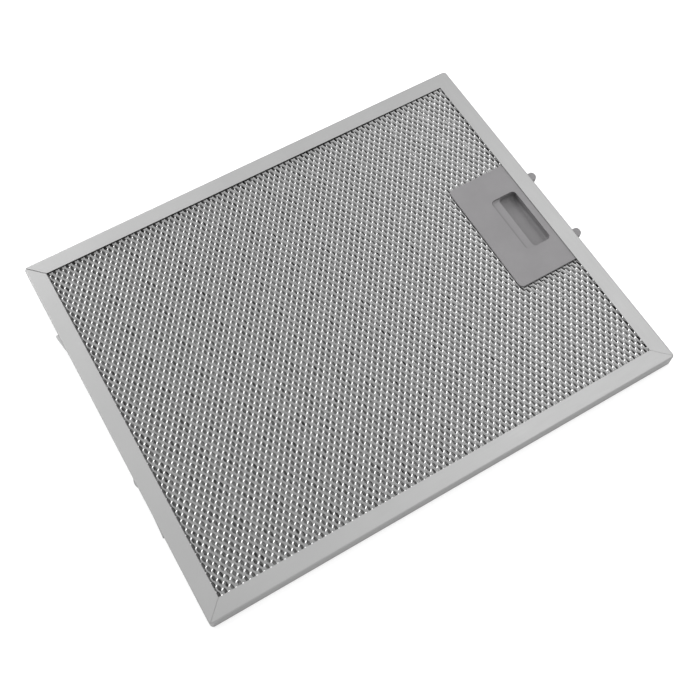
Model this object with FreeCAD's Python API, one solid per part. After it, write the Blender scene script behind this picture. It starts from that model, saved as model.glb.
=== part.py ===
import FreeCAD
import Part
import math
import os
from FreeCAD import Vector

# Cooker hood grease filter: a folded aluminium frame round a pack of expanded mesh, with a
# sprung finger latch on one short side. Millimetres. The filter lies on its rear face, with the
# front face up: +X runs towards the latch, +Y across the filter, +Z out of the front face.
# The origin is the middle of the frame on the rear face.

# Frame: one strip, folded to a channel and bent round the four corners
frame_length = 320.0
frame_width = 260.0
frame_depth = 10.0
sheet = 0.5
flange_width = 11.0
corner_radius = 2.4
fold_radius = 1.0
mitre_gap = 0.12
joint_gap = 0.40

# Lap joint that closes the strip behind the open corner, and its rivet
lap_length = 24.0
lap_anchor = 8.0
lap_gap = 0.05
lap_edge_gap = 0.4
rivet_diameter = 3.2
rivet_head_diameter = 6.4
rivet_head_height = 0.9
rivet_tail_diameter = 4.4
rivet_tail_length = 1.2
rivet_from_corner = 15.0
rivet_clearance = 0.03

# Fixed side: two pressed louvre tabs and one pressed boss, opposite the latch
tab_root_from_middle = 61.5
tab_length = 12.5
tab_height = 3.6
tab_middle_y = 1.8
tab_proud_far = 1.8
tab_proud_near = 0.6
tab_mouth = 0.4
boss_y = -34.7
boss_diameter = 6.4
boss_height = 0.9

# Expanded mesh sheets, front and rear
mesh_edge_gap = 0.3
mesh_web = 0.45
mesh_ridge_height = 0.95
strand_pitch = 4.4
strand_width = 2.1
gap_under_flange = 3.0
gap_bridge = 4.0
seat_gap = 0.05

# Inner layers of crimped expanded foil
inner_layers = 3
foil = 0.3
crimp_pitch = 26.0
crimp_gap_width = 6.0

# Latch cover plate
plate_beyond_prong = 14.0
plate_left_margin = 19.4
plate_thickness = 0.85
plate_corner_radius = 3.0
plate_edge_bevel = 0.3
plate_lip = 2.5
plate_flange_gap = 0.1
window_length = 42.8
window_from_flange = 4.5
window_spare = 0.4
window_radius = 3.0
peg_width = 2.4
peg_end_gap = 1.5
peg_clearance = 0.05

# Latch housing
housing_wall = 1.2
housing_floor = 0.7
housing_end_gap = 0.3
housing_mesh_gap = 0.5
socket_wall = 1.3
guide_width = 1.2
guide_drop = 1.1

# Latch slider with its finger well and two prongs
travel = 5.5
running_gap = 0.15
side_gap = 0.3
well_width = 13.0
well_end_ledge = 0.2
well_wall = 1.2
well_floor = 1.0
well_corner_radius = 3.0
well_floor_radius = 2.0
slider_skirt = 3.5
slider_top = 1.0
prong_from_window = 1.1
prong_width = 6.0
prong_thickness = 3.0
prong_reach = 4.8
prong_below_slider_top = 0.5
prong_tip_radius = 2.4
prong_ramp = 1.0
prong_slot_gap = 0.3
arm_before_window = 0.9

# Latch springs
spring_wire = 0.5
spring_turns = 6
spring_level_gap = 0.7
spring_peg_gap = 0.3
spring_peg_length = 2.4
spring_sides = 6

# Levels and places that follow from the sizes above
half_length = frame_length / 2
half_width = frame_width / 2
window_x = half_length - flange_width
window_y = half_width - flange_width
inner_wall_x = half_length - sheet
lap_height = frame_depth - 2 * sheet - 2 * lap_edge_gap
rivet_x = -half_length + rivet_from_corner
mesh_inset = 2 * sheet + lap_gap + seat_gap + rivet_tail_length + mesh_edge_gap
mesh_x = half_length - mesh_inset
mesh_y = half_width - mesh_inset
rear_mesh_bottom = sheet + seat_gap
rear_mesh_top = rear_mesh_bottom + mesh_ridge_height + mesh_web
plate_top = frame_depth - sheet - plate_flange_gap
plate_bottom = plate_top - plate_thickness
front_mesh_top = plate_bottom - seat_gap
front_mesh_bottom = front_mesh_top - mesh_ridge_height - mesh_web
layer_step = (front_mesh_bottom - rear_mesh_top - seat_gap) / inner_layers
window_width = well_width + travel + window_spare
latch_window_right = window_x - window_from_flange
latch_window_left = latch_window_right - window_width
well_right = latch_window_right
well_left = well_right - well_width
well_length = window_length - 2 * well_end_ledge
prong_spacing = window_length + prong_width + 2 * prong_from_window
plate_width = prong_spacing + prong_width + 2 * plate_beyond_prong
plate_left = latch_window_left - plate_left_margin
housing_left = plate_left + plate_lip
housing_right = inner_wall_x - housing_end_gap
housing_half = plate_width / 2 - plate_lip
housing_bottom = rear_mesh_top + seat_gap
housing_inside = housing_bottom + housing_floor
housing_top = plate_bottom - seat_gap
notch_left = housing_left - housing_mesh_gap
notch_half = housing_half + housing_mesh_gap
socket_half = peg_width / 2 + peg_clearance
peg_inset = housing_wall / 2 + socket_wall + socket_half
peg_length = plate_bottom - housing_inside - peg_end_gap
slider_level = plate_bottom - running_gap
slider_bottom = housing_inside + running_gap
prong_top = slider_level - prong_below_slider_top
prong_bottom = prong_top - prong_thickness
prong_level = (prong_top + prong_bottom) / 2
prong_tip = half_length + prong_reach
arm_start = latch_window_left - arm_before_window
arm_end = housing_right - housing_wall - side_gap
arm_outer = prong_spacing / 2 + prong_width / 2 + side_gap
spring_left = housing_left + housing_wall
spring_room = arm_start - spring_left
spring_level = (slider_bottom + slider_level) / 2
spring_diameter = slider_level - slider_bottom - 2 * spring_level_gap
spring_peg_half = (spring_diameter / 2 - spring_wire - spring_peg_gap) / math.sqrt(2)


# Building blocks

def slab(x0, x1, y0, y1, z0, z1):
    return Part.makeBox(x1 - x0, y1 - y0, z1 - z0, Vector(x0, y0, z0))


def is_upright(edge):
    start = edge.Vertexes[0].Point
    end = edge.Vertexes[-1].Point
    return abs(start.x - end.x) < 1e-6 and abs(start.y - end.y) < 1e-6


def lies_at(edge, level):
    return all(abs(vertex.Z - level) < 1e-6 for vertex in edge.Vertexes)


def rounded_slab(x0, x1, y0, y1, z0, z1, radius):
    block = slab(x0, x1, y0, y1, z0, z1)
    limit = 0.49 * min(x1 - x0, y1 - y0)
    return block.makeFillet(min(radius, limit), [e for e in block.Edges if is_upright(e)])


def frame_slab(inset, z0, z1):
    radius = max(corner_radius - inset, 0.2)
    x = half_length - inset
    y = half_width - inset
    return rounded_slab(-x, x, -y, y, z0, z1, radius)


def fuse_all(shapes):
    return shapes[0].multiFuse(shapes[1:]).removeSplitter()


def prism_along_y(points, y0, y1):
    wire = Part.makePolygon([Vector(x, y0, z) for x, z in points + points[:1]])
    return Part.Face(wire).extrude(Vector(0, y1 - y0, 0))


def prism_along_x(points, x0, x1):
    wire = Part.makePolygon([Vector(x0, y, z) for y, z in points + points[:1]])
    return Part.Face(wire).extrude(Vector(x1 - x0, 0, 0))


def prism_along_z(points, z0, z1):
    wire = Part.makePolygon([Vector(x, y, z0) for x, y in points + points[:1]])
    return Part.Face(wire).extrude(Vector(0, 0, z1 - z0))


# Frame

def mitre_slit(side_x, side_y, gap, through_wall):
    corner = Vector(side_x * window_x, side_y * window_y, -1)
    length = math.sqrt(2) * (flange_width - corner_radius) + corner_radius - 1.25 * sheet
    if through_wall:
        length = math.sqrt(2) * flange_width
    slit = Part.makeBox(length + 1, gap, frame_depth + 2, Vector(-1, -gap / 2, 0))
    angle = math.degrees(math.atan2(side_y, side_x))
    slit.rotate(Vector(0, 0, 0), Vector(0, 0, 1), angle)
    slit.translate(corner)
    return slit


def lap_tongue():
    middle = frame_depth / 2
    z0 = middle - lap_height / 2
    z1 = middle + lap_height / 2
    inset = sheet + lap_gap
    strip = frame_slab(inset, z0, z1).cut(frame_slab(inset + sheet, z0 - 1, z1 + 1))
    corner = slab(-half_length, lap_length - half_length, half_width - lap_length, half_width, z0, z1)
    joggle_ring = frame_slab(sheet / 2, z0, z1).cut(frame_slab(inset + sheet / 2, z0 - 1, z1 + 1))
    anchor_y = half_width - lap_length
    joggle = slab(-half_length, -window_x, anchor_y, anchor_y + lap_anchor, z0, z1)
    return strip.common(corner).fuse(joggle_ring.common(joggle))


def louvre_tab(side, proud):
    # Pressed out of the wall, closed above and below, open at its proud end
    root = tab_middle_y + side * tab_root_from_middle
    end = root + side * tab_length
    mouth = end + side * tab_mouth
    z0 = prong_level - tab_height / 2
    z1 = prong_level + tab_height / 2
    skin = -half_length + sheet
    outside = [(skin, root), (-half_length, root), (-half_length - proud, end), (skin, end)]
    inside = [(skin + 1, root), (skin, root), (skin - proud, end), (skin - proud, mouth), (skin + 1, mouth)]
    return prism_along_z(outside, z0, z1), prism_along_z(inside, z0 + sheet, z1 - sheet)


def dome_radius(diameter, height):
    return ((diameter / 2) ** 2 + height ** 2) / (2 * height)


def pressed_boss():
    radius = dome_radius(boss_diameter, boss_height)
    centre = Vector(-half_length - boss_height + radius, boss_y, frame_depth / 2)
    outside = -half_length - boss_height - 1
    y0 = boss_y - boss_diameter
    y1 = boss_y + boss_diameter
    dome = Part.makeSphere(radius, centre)
    hollow = Part.makeSphere(radius - sheet, centre)
    dome = dome.common(slab(outside, -half_length + sheet / 2, y0, y1, 0, frame_depth))
    hollow = hollow.common(slab(outside, -inner_wall_x, y0, y1, 0, frame_depth))
    return dome, hollow


def prong_slots():
    half = prong_width / 2 + prong_slot_gap
    slots = []
    for side in (-1, 1):
        y = side * prong_spacing / 2
        slots.append(
            slab(
                inner_wall_x - housing_end_gap - housing_wall - 1,
                half_length + 1,
                y - half,
                y + half,
                prong_bottom - prong_slot_gap,
                prong_top + prong_slot_gap,
            )
        )
    return slots


def folded_outside():
    # Each fold is laid out in three flats that touch an arc of the fold's radius
    block = frame_slab(0, 0, frame_depth)
    radius = min(fold_radius, 0.9 * corner_radius)
    eighth = math.pi / 8
    first = (2 - math.sqrt(2)) * radius
    second = (1 / math.cos(eighth) - 1) / math.sin(eighth) * radius
    for bevel, levels in (
        (first, (0, frame_depth)),
        (second, (0, first, frame_depth - first, frame_depth)),
    ):
        rims = [e for e in block.Edges if any(lies_at(e, level) for level in levels)]
        block = block.makeChamfer(bevel, rims)
    return block


def make_frame():
    outer = folded_outside()
    cavity = frame_slab(sheet, sheet, frame_depth - sheet)
    window = slab(-window_x, window_x, -window_y, window_y, -1, frame_depth + 1)
    channel = outer.cut([cavity, window])
    # The far corner beside the latch is pressed shut
    slits = [mitre_slit(side_x, -1, mitre_gap, False) for side_x in (-1, 1)]
    slits.append(mitre_slit(-1, 1, joint_gap, True))
    far_tab, far_hollow = louvre_tab(1, tab_proud_far)
    near_tab, near_hollow = louvre_tab(-1, tab_proud_near)
    boss, boss_hollow = pressed_boss()
    rivet_hole = Part.makeCylinder(
        rivet_diameter / 2 + rivet_clearance,
        4 * sheet,
        Vector(rivet_x, half_width + sheet, frame_depth / 2),
        Vector(0, -1, 0),
    )
    channel = channel.cut(slits + prong_slots())
    channel = fuse_all([channel, lap_tongue(), far_tab, near_tab, boss])
    return channel.cut([far_hollow, near_hollow, boss_hollow, rivet_hole])


def make_frame_rivet():
    seat = Vector(rivet_x, half_width + seat_gap, frame_depth / 2)
    inward = Vector(0, -1, 0)
    head = Part.makeCylinder(rivet_head_diameter / 2, rivet_head_height, seat, -inward)
    grip = 2 * sheet + lap_gap + 2 * seat_gap
    shank = Part.makeCylinder(rivet_diameter / 2, grip + rivet_tail_length, seat, inward)
    tail = Part.makeCylinder(rivet_tail_diameter / 2, rivet_tail_length, seat + inward * grip, inward)
    return fuse_all([head, shank, tail])


# Mesh sheets

def strand_lines():
    reach = mesh_x - strand_width
    count = int(2 * reach / strand_pitch) + 1
    return [(i - (count - 1) / 2) * strand_pitch for i in range(count)]


def mesh_sheet(flat_level, web_level, ridge_level):
    outline = [(-mesh_x, flat_level), (mesh_x, flat_level), (mesh_x, web_level)]
    for line in reversed(strand_lines()):
        outline.append((line + strand_width / 2, web_level))
        outline.append((line, ridge_level))
        outline.append((line - strand_width / 2, web_level))
    outline.append((-mesh_x, web_level))
    return prism_along_y(outline, -mesh_y, mesh_y)


def gap_boxes(notched):
    end = window_y + gap_under_flange
    lines = strand_lines()
    boxes = []
    for line, next_line in zip(lines, lines[1:]):
        if max(abs(line), abs(next_line)) > window_x + strand_pitch:
            continue
        spans = [(-end, end)]
        if notched and next_line + strand_pitch > notch_left:
            spans = [(-end, -notch_half - gap_bridge / 2), (notch_half + gap_bridge / 2, end)]
        x0 = line + strand_width / 2
        x1 = next_line - strand_width / 2
        boxes += [slab(x0, x1, y0, y1, 0, frame_depth) for y0, y1 in spans]
    return boxes


def latch_notch():
    return slab(notch_left, half_length, -notch_half, notch_half, 0, frame_depth)


def make_front_mesh():
    web_level = front_mesh_bottom + mesh_web
    wall = mesh_sheet(front_mesh_bottom, web_level, front_mesh_top)
    return wall.cut(gap_boxes(True) + [latch_notch()])


def make_rear_mesh():
    web_level = rear_mesh_top - mesh_web
    wall = mesh_sheet(rear_mesh_top, web_level, rear_mesh_bottom)
    return wall.cut(gap_boxes(False))


def crimp_folds(reach):
    count = 2 * int(2 * reach / crimp_pitch)
    return [-reach + 2 * reach * i / count for i in range(count + 1)]


def crimp_profile(reach, bottom, top):
    lower = [(fold, top if i % 2 else bottom) for i, fold in enumerate(crimp_folds(reach))]
    upper = [(fold, level + foil) for fold, level in reversed(lower)]
    return lower + upper


def crimp_gaps(reach):
    folds = crimp_folds(reach)
    middles = [(a + b) / 2 for a, b in zip(folds[0::2], folds[1::2])]
    return [(m - crimp_gap_width / 2, m + crimp_gap_width / 2) for m in middles]


def make_inner_mesh(number):
    bottom = rear_mesh_top + seat_gap + number * layer_step
    top = bottom + layer_step - seat_gap - foil
    gaps = []
    if number % 2 == 0:
        wall = prism_along_y(crimp_profile(mesh_x, bottom, top), -mesh_y, mesh_y)
        beside_latch = notch_half + gap_bridge
        for x0, x1 in crimp_gaps(mesh_x):
            spans = [(-window_y, window_y)]
            if x1 + gap_bridge > notch_left:
                spans = [(-window_y, -beside_latch), (beside_latch, window_y)]
            gaps += [slab(x0, x1, y0, y1, 0, frame_depth) for y0, y1 in spans]
    else:
        wall = prism_along_x(crimp_profile(mesh_y, bottom, top), -mesh_x, mesh_x)
        for y0, y1 in crimp_gaps(mesh_y):
            meets_latch = y1 + gap_bridge > -notch_half and y0 - gap_bridge < notch_half
            end = notch_left - gap_bridge if meets_latch else window_x
            gaps.append(slab(-window_x, end, y0, y1, 0, frame_depth))
    return wall.cut(gaps + [latch_notch()])


# Latch

def peg_places():
    x0 = housing_left + peg_inset
    x1 = housing_right - peg_inset
    y = housing_half - peg_inset
    return [(px, py) for px in (x0, x1) for py in (-y, y)]


def post(px, py, half, z0, z1):
    return slab(px - half, px + half, py - half, py + half, z0, z1)


def spring_peg(x0, x1, y):
    z0 = spring_level - spring_peg_half
    z1 = spring_level + spring_peg_half
    return slab(x0, x1, y - spring_peg_half, y + spring_peg_half, z0, z1)


def make_latch_plate():
    half = plate_width / 2
    plate = rounded_slab(plate_left, housing_right, -half, half, plate_bottom, plate_top, plate_corner_radius)
    bevel = min(plate_edge_bevel, 0.9 * plate_thickness)
    plate = plate.makeChamfer(bevel, [e for e in plate.Edges if lies_at(e, plate_top)])
    opening = rounded_slab(
        latch_window_left,
        latch_window_right,
        -window_length / 2,
        window_length / 2,
        plate_bottom - 1,
        plate_top + 1,
        window_radius,
    )
    pegs = [post(px, py, peg_width / 2, plate_bottom - peg_length, plate_bottom) for px, py in peg_places()]
    return fuse_all([plate.cut(opening)] + pegs)


def spring_places():
    return [side * prong_spacing / 2 for side in (-1, 1)]


def make_latch_housing():
    outer = rounded_slab(
        housing_left, housing_right, -housing_half, housing_half, housing_bottom, housing_top, housing_wall
    )
    inside = slab(
        housing_left + housing_wall,
        housing_right - housing_wall,
        -housing_half + housing_wall,
        housing_half - housing_wall,
        housing_inside,
        housing_top + 1,
    )
    pieces = [outer.cut(inside)]
    sockets = []
    for px, py in peg_places():
        pieces.append(post(px, py, socket_half + socket_wall, housing_bottom, housing_top))
        sockets.append(post(px, py, socket_half, housing_inside, housing_top + 1))
    for y in spring_places():
        outward = math.copysign(1, y)
        guide = outward * (arm_outer + side_gap)
        pieces.append(
            slab(
                spring_left,
                housing_right - housing_wall,
                min(guide, guide + outward * guide_width),
                max(guide, guide + outward * guide_width),
                housing_inside - housing_floor / 2,
                housing_top - guide_drop,
            )
        )
        pieces.append(spring_peg(spring_left - housing_wall / 2, spring_left + spring_peg_length, y))
    return fuse_all(pieces).cut(prong_slots() + sockets)


def make_prong(y):
    half = prong_width / 2
    prong = slab(arm_end - 1, prong_tip, y - half, y + half, prong_bottom, prong_top)
    tip_edges = [e for e in prong.Edges if is_upright(e) and e.Vertexes[0].X > prong_tip - 1e-6]
    prong = prong.makeFillet(min(prong_tip_radius, 0.49 * prong_width), tip_edges)
    ramp = [
        (prong_tip, prong_bottom),
        (prong_tip - 2 * prong_ramp, prong_bottom),
        (prong_tip, prong_bottom + prong_ramp),
    ]
    return prong.cut(prism_along_y(ramp, y - half, y + half))


def make_latch_slider():
    half_well = well_length / 2
    pieces = [
        slab(
            latch_window_left - slider_skirt,
            latch_window_right + travel + well_wall,
            -half_well - well_wall,
            half_well + well_wall,
            slider_level - slider_top,
            slider_level,
        ),
        rounded_slab(
            well_left - well_wall,
            well_right + well_wall,
            -half_well - well_wall,
            half_well + well_wall,
            slider_bottom,
            slider_level,
            well_corner_radius,
        ),
    ]
    for y in spring_places():
        inner = half_well if y > 0 else -half_well
        outer = math.copysign(arm_outer, y)
        pieces.append(
            slab(arm_start, arm_end, min(inner, outer), max(inner, outer), slider_bottom, slider_level)
        )
        pieces.append(make_prong(y))
        pieces.append(spring_peg(arm_start - spring_peg_length, arm_start + well_wall, y))
    well = rounded_slab(
        well_left,
        well_right,
        -half_well,
        half_well,
        slider_bottom + well_floor,
        slider_level + 1,
        well_corner_radius,
    )
    floor_edges = [e for e in well.Edges if lies_at(e, slider_bottom + well_floor)]
    well = well.makeFillet(min(well_floor_radius, 0.9 * well_corner_radius), floor_edges)
    return fuse_all(pieces).cut(well)


def make_spring(y):
    # Coil of square wire, closed from flat triangles
    start = spring_left + seat_gap
    length = spring_room - 2 * seat_gap
    inner = spring_diameter / 2 - spring_wire
    outer = spring_diameter / 2
    steps = spring_turns * spring_sides
    rise = (length - spring_wire) / steps
    rings = []
    for step in range(steps + 1):
        angle = 2 * math.pi * step / spring_sides
        x = start + rise * step
        ring = []
        for radius, shift in ((inner, 0), (outer, 0), (outer, spring_wire), (inner, spring_wire)):
            ring.append(
                Vector(x + shift, y + radius * math.cos(angle), spring_level + radius * math.sin(angle))
            )
        rings.append(ring)
    quads = [rings[0], list(reversed(rings[-1]))]
    for back, front in zip(rings, rings[1:]):
        for i in range(4):
            j = (i + 1) % 4
            quads.append([back[i], front[i], front[j], back[j]])
    faces = []
    for a, b, c, d in quads:
        faces.append(Part.Face(Part.makePolygon([a, b, c, a])))
        faces.append(Part.Face(Part.makePolygon([a, c, d, a])))
    shell = Part.makeShell(faces)
    shell.sewShape()
    coil = Part.makeSolid(Part.Shell(shell.Faces))
    if coil.Volume < 0:
        coil.reverse()
    return coil


def main():
    nodes = {
        "frame": make_frame(),
        "frame_rivet": make_frame_rivet(),
        "front_mesh": make_front_mesh(),
        "rear_mesh": make_rear_mesh(),
        "latch_plate": make_latch_plate(),
        "latch_housing": make_latch_housing(),
        "latch_slider": make_latch_slider(),
        "latch_spring_near": make_spring(-prong_spacing / 2),
        "latch_spring_far": make_spring(prong_spacing / 2),
    }
    for number in range(inner_layers):
        nodes["inner_mesh_%d" % (number + 1)] = make_inner_mesh(number)
    os.makedirs("parts", exist_ok=True)
    for name, shape in nodes.items():
        shape.exportStep(os.path.join("parts", name + ".step"))
        print(name, "solids", len(shape.Solids), "valid", shape.isValid(), "volume", round(shape.Volume, 1))


main()
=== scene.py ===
import math

import bpy
import numpy as np
from mathutils import Matrix, Vector


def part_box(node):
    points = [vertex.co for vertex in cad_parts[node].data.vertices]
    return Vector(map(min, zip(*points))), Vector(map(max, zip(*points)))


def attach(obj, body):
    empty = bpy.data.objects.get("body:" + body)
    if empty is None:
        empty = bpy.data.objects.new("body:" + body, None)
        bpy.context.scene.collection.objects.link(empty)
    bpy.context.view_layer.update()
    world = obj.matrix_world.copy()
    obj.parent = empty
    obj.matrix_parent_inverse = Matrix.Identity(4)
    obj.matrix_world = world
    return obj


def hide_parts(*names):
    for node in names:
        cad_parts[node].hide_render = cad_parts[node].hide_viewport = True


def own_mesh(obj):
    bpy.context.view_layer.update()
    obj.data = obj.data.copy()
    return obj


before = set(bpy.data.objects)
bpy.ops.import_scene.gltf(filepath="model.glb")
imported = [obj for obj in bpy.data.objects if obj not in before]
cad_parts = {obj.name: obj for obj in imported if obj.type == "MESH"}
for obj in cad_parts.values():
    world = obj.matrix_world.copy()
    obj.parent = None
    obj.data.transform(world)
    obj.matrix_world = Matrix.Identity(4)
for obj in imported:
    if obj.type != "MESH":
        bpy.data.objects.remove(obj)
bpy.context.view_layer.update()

# Cooker hood grease filter. Metres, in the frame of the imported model: the filter lies on its rear
# face, +X runs towards the latch, +Y across the filter, +Z out of the front face.

mm = 0.001

# Camera, solved from the four corners of the frame
camera_place = Vector((-153.2, -262.2, 574.7)) * mm
camera_right = Vector((0.8610, -0.5086, 0.0052))
camera_back = Vector((-0.2278, -0.3764, 0.8980))
camera_lens = 52.695
camera_sensor = 36.0

# Expanded mesh of the front and rear sheets: openings staggered by half a cell
cell = (4.41 * mm, 6.20 * mm)
strand_width = 1.50 * mm
strand_crown = 0.27 * mm
strand_arch = 0.24 * mm
strand_bond = 0.14 * mm
strand_tilt = math.radians(18)
front_start = (0.24 * mm, 1.93 * mm)
rear_start = (0.0, 0.0)

# Stations along one cell of a ribbon, in shares of the cell: an arched diagonal from the bond with
# one neighbour to the bond with the other, and a flat diagonal back. The crown is the middle corner
# of the ribbon's profile.
strand_turn = 0.110
station_places = (0.25 - strand_turn, 0.25, 0.25 + strand_turn,
                  0.75 - strand_turn, 0.75 + strand_turn)
station_swings = (-1.0, 0.0, 1.0, 1.0, -1.0)
station_arches = (0.0, 1.0, 0.0, 0.0, 0.0)
creased_stations = (0, 2)
crown_corner = 1

# Unevenness of the two sheets: wave lengths and the height of the longest wave
fine_seed = 7
fine_lengths = (9 * mm, 13 * mm, 17 * mm, 23 * mm)
fine_height = 0.05 * mm
broad_seed = 11
broad_lengths = (70 * mm, 95 * mm, 140 * mm)
broad_height = 0.10 * mm

# Dent in the front sheet
dent_place = (-25.0 * mm, 20.0 * mm)
dent_radius = 9.0 * mm
dent_depth = 0.30 * mm

# Edges of the front sheet, which the frame nips up against its flange
flange_width = 11.0 * mm
nip_height = 0.75 * mm
nip_reach = 8.0 * mm

# Dip of the front sheet round the rim of the latch plate
dip_depth = 0.60 * mm
dip_reach = 2.5 * mm

# Inner layers: wider cells of thin foil, crimped in zigzag folds
inner_layers = 3
foil_cell = (5.4 * mm, 8.4 * mm)
foil_width = 2.4 * mm
foil_crown = 0.12 * mm
foil_bond = foil_width / 8
foil_tilt = math.radians(14)
crimp_pitch = 26.0 * mm

# Room that the latch takes out of the front and inner layers
latch_room = 0.5 * mm

# Latch springs
spring_wire = 0.5 * mm
spring_turns = 7
spring_points_a_turn = 18
spring_sides = 8
spring_end_closing = 0.6

# Soft edges of the mouldings
edge_round = 0.16 * mm
plate_edge_round = 0.28 * mm
edge_segments = 2
edge_angle = math.radians(40)

# Frame finish: grey, roughness, clouds and the grain along the strip
frame_greys = (0.334, 0.374)
frame_roughness = (0.40, 0.50)
frame_cloud_scale = 22.0
frame_grain_scale = 2600.0
frame_grain_stretch = 0.02
frame_grain_bump = 0.05
frame_grain_height = 0.02 * mm

# Other metals: dark and light grey, roughness of the light and the dark patches, patch scale
metals = {
    "mesh_aluminium": {"dark": 0.292, "light": 0.352, "smooth": 0.18, "rough": 0.25,
                       "scale": 260.0},
    "foil_aluminium": {"dark": 0.28, "light": 0.34, "smooth": 0.60, "rough": 0.72,
                       "scale": 180.0, "metallic": 0.1},
    "rivet_aluminium": {"dark": 0.48, "light": 0.54, "smooth": 0.30, "rough": 0.42,
                        "scale": 900.0},
    "spring_steel": {"dark": 0.50, "light": 0.58, "smooth": 0.22, "rough": 0.34,
                     "scale": 1400.0},
}

# Plastic finish: colour, clouds and the spark-eroded grain
plastic_colour = (0.270, 0.263, 0.270)
plastic_roughness = (0.46, 0.60)
plastic_cloud = 0.88
plastic_cloud_scale = 60.0
plastic_grain_scale = 5200.0
plastic_grain_bump = 0.25
plastic_grain_height = 0.03 * mm

# Painted shade that darkens the foot of the finger well, and a painted shadow line on the slide
# where it comes out from under the left edge of the plate's window
well_painted_shade = 0.80
window_edge_painted_shadow = 0.70
painted_shadow_left = 126.0 * mm
painted_shadow_right = 127.4 * mm
painted_shadow_headroom = 0.1 * mm

# Lamps: direction from the filter, distance, width, height and radiance
lamps = (
    ("back_softbox", (-0.302, 0.877, 0.375), 2.2, 1.5, 1.1, 6.8),
    ("side_softbox", (0.46, 0.16, 0.87), 1.3, 0.9, 0.9, 1.15),
    ("top_softbox", (-0.15, 0.55, 0.82), 1.3, 0.6, 0.6, 0.3),
    ("left_softbox", (-0.88, 0.40, 0.25), 2.2, 0.9, 0.7, 2.2),
)

# World light, strongest from one side and nought past the given cosine
ambient = 1.24
ambient_from = (0.90, 0.05, 0.43)
ambient_edge = -0.4

# Floor: its shade, and its glow for camera rays and for reflected rays
floor_reach = 4.0
floor_drop = 0.05 * mm
floor_shade = 0.72
floor_glow = 0.60
floor_gleam = 0.33


# Nodes and materials

class Shade:
    """A node tree with short ways to add and join nodes."""

    def __init__(self, tree):
        self.tree = tree
        self.tree.nodes.clear()

    def add(self, kind, **values):
        node = self.tree.nodes.new(kind)
        for key, value in values.items():
            setattr(node, key, value)
        return node

    def put(self, value, socket):
        if hasattr(value, "is_output"):
            self.tree.links.new(value, socket)
        else:
            socket.default_value = value

    def math(self, operation, a, b=0.0):
        node = self.add("ShaderNodeMath", operation=operation)
        self.put(a, node.inputs[0])
        self.put(b, node.inputs[1])
        return node.outputs[0]

    def noise(self, vector, scale, detail=2.0):
        node = self.add("ShaderNodeTexNoise")
        self.put(vector, node.inputs["Vector"])
        node.inputs["Scale"].default_value = scale
        node.inputs["Detail"].default_value = detail
        return node.outputs["Fac"]

    def stretched(self, vector, scale):
        node = self.add("ShaderNodeVectorMath", operation="MULTIPLY")
        self.put(vector, node.inputs[0])
        node.inputs[1].default_value = scale
        return node.outputs[0]

    def spread(self, value, low, high, start=0.25, end=0.75):
        """Runs from low to high while the value runs from start to end."""
        node = self.add("ShaderNodeMapRange")
        self.put(value, node.inputs["Value"])
        node.inputs["From Min"].default_value = start
        node.inputs["From Max"].default_value = end
        node.inputs["To Min"].default_value = low
        node.inputs["To Max"].default_value = high
        return node.outputs["Result"]

    def blend(self, factor, a, b):
        node = self.add("ShaderNodeMix", data_type="FLOAT")
        self.put(factor, node.inputs[0])
        self.put(a, node.inputs[2])
        self.put(b, node.inputs[3])
        return node.outputs[0]

    def tint(self, factor, dark, light):
        node = self.add("ShaderNodeMix", data_type="RGBA")
        self.put(factor, node.inputs[0])
        node.inputs[6].default_value = (*dark, 1.0)
        node.inputs[7].default_value = (*light, 1.0)
        return node.outputs[2]

    def bump(self, height, strength, distance):
        node = self.add("ShaderNodeBump")
        self.put(height, node.inputs["Height"])
        node.inputs["Strength"].default_value = strength
        node.inputs["Distance"].default_value = distance
        return node.outputs["Normal"]

    def coordinates(self):
        return self.add("ShaderNodeTexCoord").outputs["Object"]

    def split(self, vector):
        node = self.add("ShaderNodeSeparateXYZ")
        self.put(vector, node.inputs[0])
        return node.outputs


def new_material(name):
    material = bpy.data.materials.new(name)
    material.use_nodes = True
    shade = Shade(material.node_tree)
    surface = shade.add("ShaderNodeBsdfPrincipled")
    output = shade.add("ShaderNodeOutputMaterial")
    shade.put(surface.outputs[0], output.inputs["Surface"])
    return material, shade, surface.inputs


def grey(value):
    return (value, value, value)


def frame_finish():
    """Satin aluminium, drawn along the strip, so the grain turns at each mitre."""
    material, shade, surface = new_material("frame_aluminium")
    place = shade.coordinates()
    x, y, _ = shade.split(place)
    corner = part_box("frame")[1]
    from_end = shade.math("SUBTRACT", corner.x, shade.math("ABSOLUTE", x))
    from_side = shade.math("SUBTRACT", corner.y, shade.math("ABSOLUTE", y))
    on_short_side = shade.math("LESS_THAN", from_end, from_side)
    drawn_x = shade.stretched(place, (frame_grain_stretch, 1.0, 1.0))
    drawn_y = shade.stretched(place, (1.0, frame_grain_stretch, 1.0))
    along_x = shade.noise(drawn_x, frame_grain_scale, detail=3.0)
    along_y = shade.noise(drawn_y, frame_grain_scale, detail=3.0)
    grain = shade.blend(on_short_side, along_x, along_y)
    cloud = shade.noise(place, frame_cloud_scale, detail=3.0)
    dark, light = frame_greys
    shade.put(shade.tint(cloud, grey(dark), grey(light)), surface["Base Color"])
    shade.put(shade.spread(grain, *frame_roughness), surface["Roughness"])
    shade.put(shade.bump(grain, frame_grain_bump, frame_grain_height), surface["Normal"])
    surface["Metallic"].default_value = 1.0
    return material


def metal_finish(name, dark, light, smooth, rough, scale, metallic=1.0):
    """Rolled metal whose shade and gloss wander from strand to strand."""
    material, shade, surface = new_material(name)
    patch = shade.noise(shade.coordinates(), scale)
    shade.put(shade.tint(patch, grey(dark), grey(light)), surface["Base Color"])
    shade.put(shade.spread(patch, rough, smooth), surface["Roughness"])
    surface["Metallic"].default_value = metallic
    return material


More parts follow.
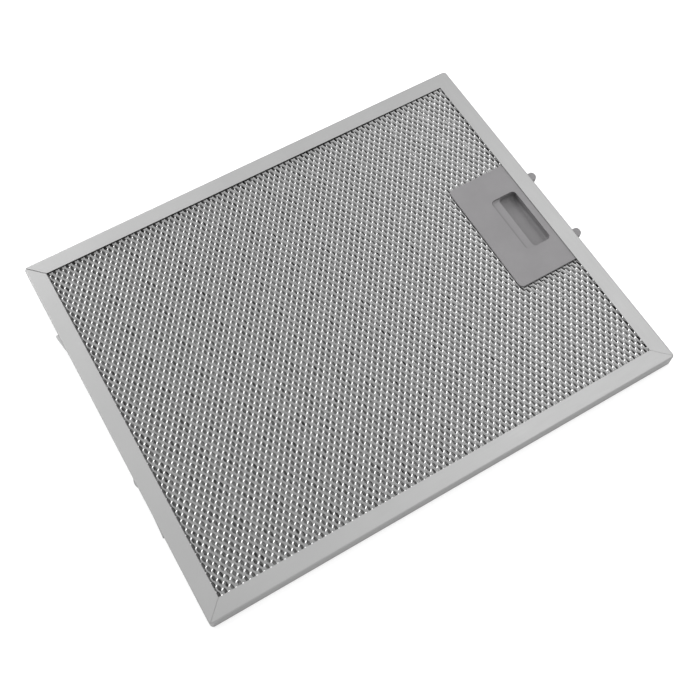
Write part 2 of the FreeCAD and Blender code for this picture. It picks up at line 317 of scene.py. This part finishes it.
def plastic_finish():
    """Grey moulding with a fine spark-eroded grain, painted shade deep in the finger well and a
    painted shadow line beside the window's edge.
    """
    material, shade, surface = new_material("latch_plastic")
    place = shade.coordinates()
    grain = shade.noise(place, plastic_grain_scale)
    cloud = shade.noise(place, plastic_cloud_scale, detail=3.0)
    x, _, z = shade.split(place)
    low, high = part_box("latch_slider")
    # Painted shade: the slider is drawn darker the lower it lies, darkest at the foot of the well
    well_depth_shade = shade.spread(z, well_painted_shade, 1.0, low.z, high.z)
    # Painted shadow: a dark line on the slide just past the left edge of the plate's window, below
    # the plate
    edge_shadow = shade.spread(x, window_edge_painted_shadow, 1.0, painted_shadow_left, painted_shadow_right)
    under_plate = shade.math("LESS_THAN", z, high.z + painted_shadow_headroom)
    # Painted shade of the well times the painted shadow line at the window's edge
    painted_shade = shade.math("MULTIPLY", well_depth_shade, shade.blend(under_plate, 1.0, edge_shadow))
    level = shade.math("MULTIPLY", painted_shade, shade.spread(cloud, plastic_cloud, 1.0))
    shade.put(shade.tint(level, grey(0.0), plastic_colour), surface["Base Color"])
    shade.put(shade.spread(grain, *plastic_roughness), surface["Roughness"])
    shade.put(shade.bump(grain, plastic_grain_bump, plastic_grain_height), surface["Normal"])
    return material


# Heights added to the sheets

def ripple(seed, lengths, height):
    """Waves of the given lengths in random directions."""
    draw = np.random.default_rng(seed)
    waves = []
    for length in lengths:
        angle = draw.uniform(0, math.tau)
        rate = math.tau / length
        shift = draw.uniform(0, math.tau)
        waves.append((rate * math.cos(angle), rate * math.sin(angle), shift, length))
    longest = max(lengths)

    def lift(x, y):
        total = np.zeros_like(x)
        for rate_x, rate_y, shift, length in waves:
            total += height * length / longest * np.sin(rate_x * x + rate_y * y + shift)
        return total

    return lift


def crimp(pitch, height, along_x):
    """Zigzag folds across one direction."""
    def lift(x, y):
        turn = (x if along_x else y) / pitch
        return height * (4 * np.abs(turn - np.floor(turn + 0.5)) - 1)

    return lift


def dent(x, y):
    away = ((x - dent_place[0]) ** 2 + (y - dent_place[1]) ** 2) / dent_radius ** 2
    return dent_depth * np.exp(-away)


def nip(x, y):
    """Rise of the front sheet towards the flanges, apart from the one on the latch side."""
    low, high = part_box("front_mesh")
    inset = (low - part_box("frame")[0]).y
    to_side = np.minimum(y - low.y, high.y - y)
    to_end = np.where(x < notch_box()[0] - 2 * nip_reach, x - low.x, high.x - low.x)
    away = np.maximum(np.minimum(to_side, to_end) + inset - flange_width, 0.0)
    return nip_height * np.exp(-(away / nip_reach) ** 2)


def dip(x, y):
    low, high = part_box("latch_plate")
    past_end = np.maximum(low.x - x, 0.0)
    past_side = np.maximum(np.maximum(low.y - y, y - high.y), 0.0)
    away = (past_end ** 2 + past_side ** 2) / dip_reach ** 2
    return dip_depth * np.exp(-away)


# Meshes

def new_piece(name, points, faces, material, body, nodes):
    mesh = bpy.data.meshes.new(name)
    mesh.from_pydata(points, [], faces)
    mesh.materials.append(material)
    piece = bpy.data.objects.new(name, mesh)
    bpy.context.scene.collection.objects.link(piece)
    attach(piece, body)
    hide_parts(*nodes)
    return piece


def shade_smooth(mesh, sharp_edges=None):
    mesh.polygons.foreach_set("use_smooth", np.ones(len(mesh.polygons), dtype=bool))
    if sharp_edges is not None:
        attribute = mesh.attributes.new("sharp_edge", "BOOLEAN", "EDGE")
        attribute.data.foreach_set("value", sharp_edges)
    mesh.update()


def notch_box():
    """Left end, low side and high side of the notch for the latch."""
    low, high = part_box("latch_housing")
    return low.x - latch_room, low.y - latch_room, high.y + latch_room


def expanded_sheet(low, high, level, cell, strand, tilt, start, lift, notched):
    """Points and faces of a slit and stretched sheet, and where each point lies.

    Ribbons run along Y, half a cell apart. Each swings from its bond with one neighbour to its
    bond with the other, arches a little in between, and lies tilted about Y as the stretching
    leaves it. Its profile is a low crown on a flat underside. Each point has the number of its
    corner in the profile, of its place in the sheet and of its station in the cell.
    """
    width, crown, arch, bond = strand
    across = np.array((math.cos(tilt), 0.0, math.sin(tilt)))
    upward = np.array((-math.sin(tilt), 0.0, math.cos(tilt)))
    arm = width / 2 - bond
    swing_x = cell[0] / 4 - arm * across[0]
    swing_z = -arm * across[2]
    places = np.array(station_places) * cell[1]
    swings = np.array(station_swings)
    arches = np.array(station_arches) * arch
    stations = len(places)

    step_x = cell[0] / 2
    origin_y = start[1] - cell[1] / 4
    first_ribbon = math.ceil((low.x - start[0]) / step_x)
    last_ribbon = math.floor((high.x - start[0]) / step_x)
    first_cell = math.floor((low.y - origin_y) / cell[1])
    last_cell = math.ceil((high.y - origin_y) / cell[1])
    ribbons = np.arange(first_ribbon, last_ribbon + 1)
    steps = np.arange(first_cell * stations, (last_cell + 1) * stations)
    ribbon, step = np.meshgrid(ribbons, steps, indexing="ij")
    station = step % stations
    x = start[0] + ribbon * step_x + swings[station] * swing_x
    y = origin_y + (step // stations - ribbon % 2 / 2) * cell[1] + places[station]
    z = level + swings[station] * swing_z + arches[station]
    inside = (x > low.x + width / 2) & (x < high.x - width / 2) & (y > low.y) & (y < high.y)
    if notched:
        notch_left, notch_low, notch_high = notch_box()
        inside &= ~((x > notch_left - width) & (y > notch_low) & (y < notch_high))

    centre = np.stack((x, y, z), axis=-1)
    profile = ((width / 2, -crown / 2), (0.0, crown / 2), (-width / 2, -crown / 2))
    corners = []
    for side, rise in profile:
        point = centre + side * across + rise * upward
        point[..., 2] += lift(point[..., 0], point[..., 1])
        corners.append(point)
    points = np.stack(corners, axis=2)
    number = np.arange(math.prod(points.shape[:3])).reshape(points.shape[:3])

    # Walls between neighbouring places of a ribbon, and caps at its ends
    both = inside[:, :-1] & inside[:, 1:]
    back = number[:, :-1][both]
    front = number[:, 1:][both]
    sides = [np.stack((back[:, i], front[:, i], front[:, j], back[:, j]), axis=1)
             for i, j in ((0, 1), (1, 2), (2, 0))]
    before = np.zeros_like(inside)
    before[:, 1:] = both
    after = np.zeros_like(inside)
    after[:, :-1] = both
    faces = np.concatenate(sides).tolist()
    faces += number[after & ~before].tolist()
    faces += number[before & ~after][:, ::-1].tolist()

    used = np.unique(np.concatenate((back.ravel(), front.ravel())))
    renumber = np.zeros(number.size, dtype=np.int64)
    renumber[used] = np.arange(used.size)
    faces = [[int(renumber[i]) for i in face] for face in faces]
    place, corner = np.divmod(used, len(profile))
    return points.reshape(-1, 3)[used], faces, corner, place, station.ravel()[place]


def add_sheet(node, body, material, slot, **shape):
    """An expanded sheet with sharp feet and with creases at the ends of the arches."""
    points, faces, corner, place, station = expanded_sheet(*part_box(node), **shape)
    piece = new_piece(node + "_strands", points, faces, material, body, [node])
    mesh = piece.data
    ends = np.zeros(len(mesh.edges) * 2, dtype=np.int32)
    mesh.edges.foreach_get("vertices", ends)
    first, second = ends.reshape(-1, 2).T
    foot = corner != crown_corner
    crease = np.isin(station, creased_stations)
    along_foot = foot[first] & foot[second]
    across_crease = crease[first] & (place[first] == place[second])
    shade_smooth(mesh, along_foot | across_crease)


def add_outer_sheets(material):
    strand = (strand_width, strand_crown, strand_arch, strand_bond)
    depth = (strand_width - strand_bond) * math.sin(strand_tilt) + strand_crown / 2
    fine = ripple(fine_seed, fine_lengths, fine_height)
    broad = ripple(broad_seed, broad_lengths, broad_height)

    def front_lift(x, y):
        return fine(x, y) + broad(x, y) - dent(x, y) + nip(x, y) - dip(x, y)

    def rear_lift(x, y):
        return fine(-x, y) + broad(x, -y)

    front_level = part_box("front_mesh")[1].z - depth
    rear_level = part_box("rear_mesh")[0].z + depth
    add_sheet("front_mesh", "filter", material, "mesh_aluminium", level=front_level, cell=cell,
              strand=strand, tilt=strand_tilt, start=front_start, lift=front_lift, notched=True)
    add_sheet("rear_mesh", "filter", material, "mesh_aluminium", level=rear_level, cell=cell,
              strand=strand, tilt=-strand_tilt, start=rear_start, lift=rear_lift, notched=False)


def add_inner_layers(material):
    """Foil layers, each shifted by a share of a cell and crimped across the one below."""
    strand = (foil_width, foil_crown, 0.0, foil_bond)
    spare = foil_width * math.sin(foil_tilt) + foil_crown
    for number in range(1, inner_layers + 1):
        node = "inner_mesh_%d" % number
        low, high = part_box(node)
        height = (high.z - low.z - spare) / 2
        start = (number * foil_cell[0] / inner_layers, number * foil_cell[1] / inner_layers)
        add_sheet(node, "filter", material, "foil_aluminium", level=(low.z + high.z) / 2,
                  cell=foil_cell, strand=strand, tilt=foil_tilt, start=start,
                  lift=crimp(crimp_pitch, height, number % 2 == 1), notched=True)


def tube(path, radius, sides):
    """Points and faces of a closed round tube along a list of points."""
    points = []
    for i, place in enumerate(path):
        ahead = path[min(i + 1, len(path) - 1)] - path[max(i - 1, 0)]
        turn = ahead.to_track_quat("Z", "X").to_matrix()
        for k in range(sides):
            angle = math.tau * k / sides
            spoke = Vector((radius * math.cos(angle), radius * math.sin(angle), 0))
            points.append(place + turn @ spoke)
    faces = [list(reversed(range(sides)))]
    for i in range(len(path) - 1):
        for k in range(sides):
            a = i * sides + k
            b = i * sides + (k + 1) % sides
            faces.append([a, b, b + sides, a + sides])
    faces.append(list(range((len(path) - 1) * sides, len(path) * sides)))
    return points, faces


def add_spring(node, material):
    """Compression coil with closed ends. The coil is built at one length, though the slide shortens
    the real spring when drawn back.
    """
    low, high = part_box(node)
    radius = (high.y - low.y - spring_wire) / 2
    middle = (low + high) / 2
    count = spring_turns * spring_points_a_turn
    path = []
    for i in range(count + 1):
        share = i / count
        eased = share - spring_end_closing * math.sin(math.tau * share) / math.tau
        angle = math.tau * spring_turns * share
        x = low.x + spring_wire / 2 + eased * (high.x - low.x - spring_wire)
        y = middle.y + radius * math.cos(angle)
        z = middle.z + radius * math.sin(angle)
        path.append(Vector((x, y, z)))
    points, faces = tube(path, spring_wire / 2, spring_sides)
    piece = new_piece(node + "_coil", points, faces, material, "filter", [node])
    shade_smooth(piece.data)
    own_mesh(piece)


def finish_node(node, material):
    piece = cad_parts[node]
    piece.data.materials.clear()
    piece.data.materials.append(material)


def soften_edges(node, width):
    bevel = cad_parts[node].modifiers.new("soft_edges", "BEVEL")
    bevel.width = width
    bevel.segments = edge_segments
    bevel.limit_method = "ANGLE"
    bevel.angle_limit = edge_angle


# Scene

def place_camera():
    back = camera_back.normalized()
    right = (camera_right - back * camera_right.dot(back)).normalized()
    up = back.cross(right)
    data = bpy.data.cameras.new("camera")
    data.lens = camera_lens
    data.sensor_width = camera_sensor
    camera = bpy.data.objects.new("camera", data)
    turn = Matrix((right, up, back)).transposed().to_4x4()
    camera.matrix_world = Matrix.Translation(camera_place) @ turn
    bpy.context.scene.collection.objects.link(camera)
    bpy.context.scene.camera = camera


def add_lamp(name, toward, distance, width, height, radiance):
    data = bpy.data.lights.new(name, "AREA")
    data.shape = "RECTANGLE"
    data.size = width
    data.size_y = height
    data.energy = radiance * math.pi * width * height
    lamp = bpy.data.objects.new(name, data)
    direction = Vector(toward).normalized()
    turn = direction.to_track_quat("Z", "Y").to_matrix().to_4x4()
    lamp.matrix_world = Matrix.Translation(direction * distance) @ turn
    bpy.context.scene.collection.objects.link(lamp)


def reflected_rays(shade, path):
    """One for rays that metal reflects or glass lets through, and nought for the rest."""
    return shade.math("MAXIMUM", path["Is Glossy Ray"], path["Is Transmission Ray"])


def set_world():
    """White for the rays that see the background, and one-sided light for the others."""
    world = bpy.data.worlds.new("studio")
    world.use_nodes = True
    shade = Shade(world.node_tree)
    lighting = shade.add("ShaderNodeBackground")
    lighting.inputs["Color"].default_value = (1, 1, 1, 1)
    facing = shade.add("ShaderNodeVectorMath", operation="DOT_PRODUCT")
    shade.put(shade.add("ShaderNodeTexCoord").outputs["Generated"], facing.inputs[0])
    facing.inputs[1].default_value = Vector(ambient_from).normalized()
    strength = shade.spread(facing.outputs["Value"], 0.0, ambient, ambient_edge, 1.0)
    shade.put(strength, lighting.inputs["Strength"])
    background = shade.add("ShaderNodeBackground")
    background.inputs["Color"].default_value = (1, 1, 1, 1)
    background.inputs["Strength"].default_value = 1.0
    path = shade.add("ShaderNodeLightPath").outputs
    seen = shade.math("MAXIMUM", path["Is Camera Ray"], reflected_rays(shade, path))
    mix = shade.add("ShaderNodeMixShader")
    shade.put(seen, mix.inputs[0])
    shade.put(lighting.outputs[0], mix.inputs[1])
    shade.put(background.outputs[0], mix.inputs[2])
    output = shade.add("ShaderNodeOutputWorld")
    shade.put(mix.outputs[0], output.inputs["Surface"])
    bpy.context.scene.world = world


def add_floor():
    mesh = bpy.data.meshes.new("floor")
    corners = [(x * floor_reach, y * floor_reach, -floor_drop)
               for x, y in ((-1, -1), (1, -1), (1, 1), (-1, 1))]
    mesh.from_pydata(corners, [], [(0, 1, 2, 3)])
    material = bpy.data.materials.new("floor")
    material.use_nodes = True
    shade = Shade(material.node_tree)
    diffuse = shade.add("ShaderNodeBsdfDiffuse")
    diffuse.inputs["Color"].default_value = (*grey(floor_shade), 1)
    glow = shade.add("ShaderNodeEmission")
    path = shade.add("ShaderNodeLightPath").outputs
    seen = shade.math("MULTIPLY", path["Is Camera Ray"], floor_glow)
    gleam = shade.math("MULTIPLY", reflected_rays(shade, path), floor_gleam)
    shade.put(shade.math("MAXIMUM", seen, gleam), glow.inputs["Strength"])
    both = shade.add("ShaderNodeAddShader")
    shade.put(diffuse.outputs[0], both.inputs[0])
    shade.put(glow.outputs[0], both.inputs[1])
    output = shade.add("ShaderNodeOutputMaterial")
    shade.put(both.outputs[0], output.inputs["Surface"])
    mesh.materials.append(material)
    floor = bpy.data.objects.new("floor", mesh)
    bpy.context.scene.collection.objects.link(floor)


def main():
    bpy.context.scene.view_settings.view_transform = "Standard"
    place_camera()
    set_world()
    add_floor()
    for lamp in lamps:
        add_lamp(*lamp)
    frame_metal = frame_finish()
    metal = {name: metal_finish(name, **look) for name, look in metals.items()}
    plastic = plastic_finish()
    finish_node("frame", frame_metal)
    finish_node("frame_rivet", metal["rivet_aluminium"])
    for node in ("latch_plate", "latch_housing", "latch_slider"):
        finish_node(node, plastic)
        soften_edges(node, plate_edge_round if node == "latch_plate" else edge_round)
    add_outer_sheets(metal["mesh_aluminium"])
    add_inner_layers(metal["foil_aluminium"])
    for node in ("latch_spring_near", "latch_spring_far"):
        add_spring(node, metal["spring_steel"])


main()
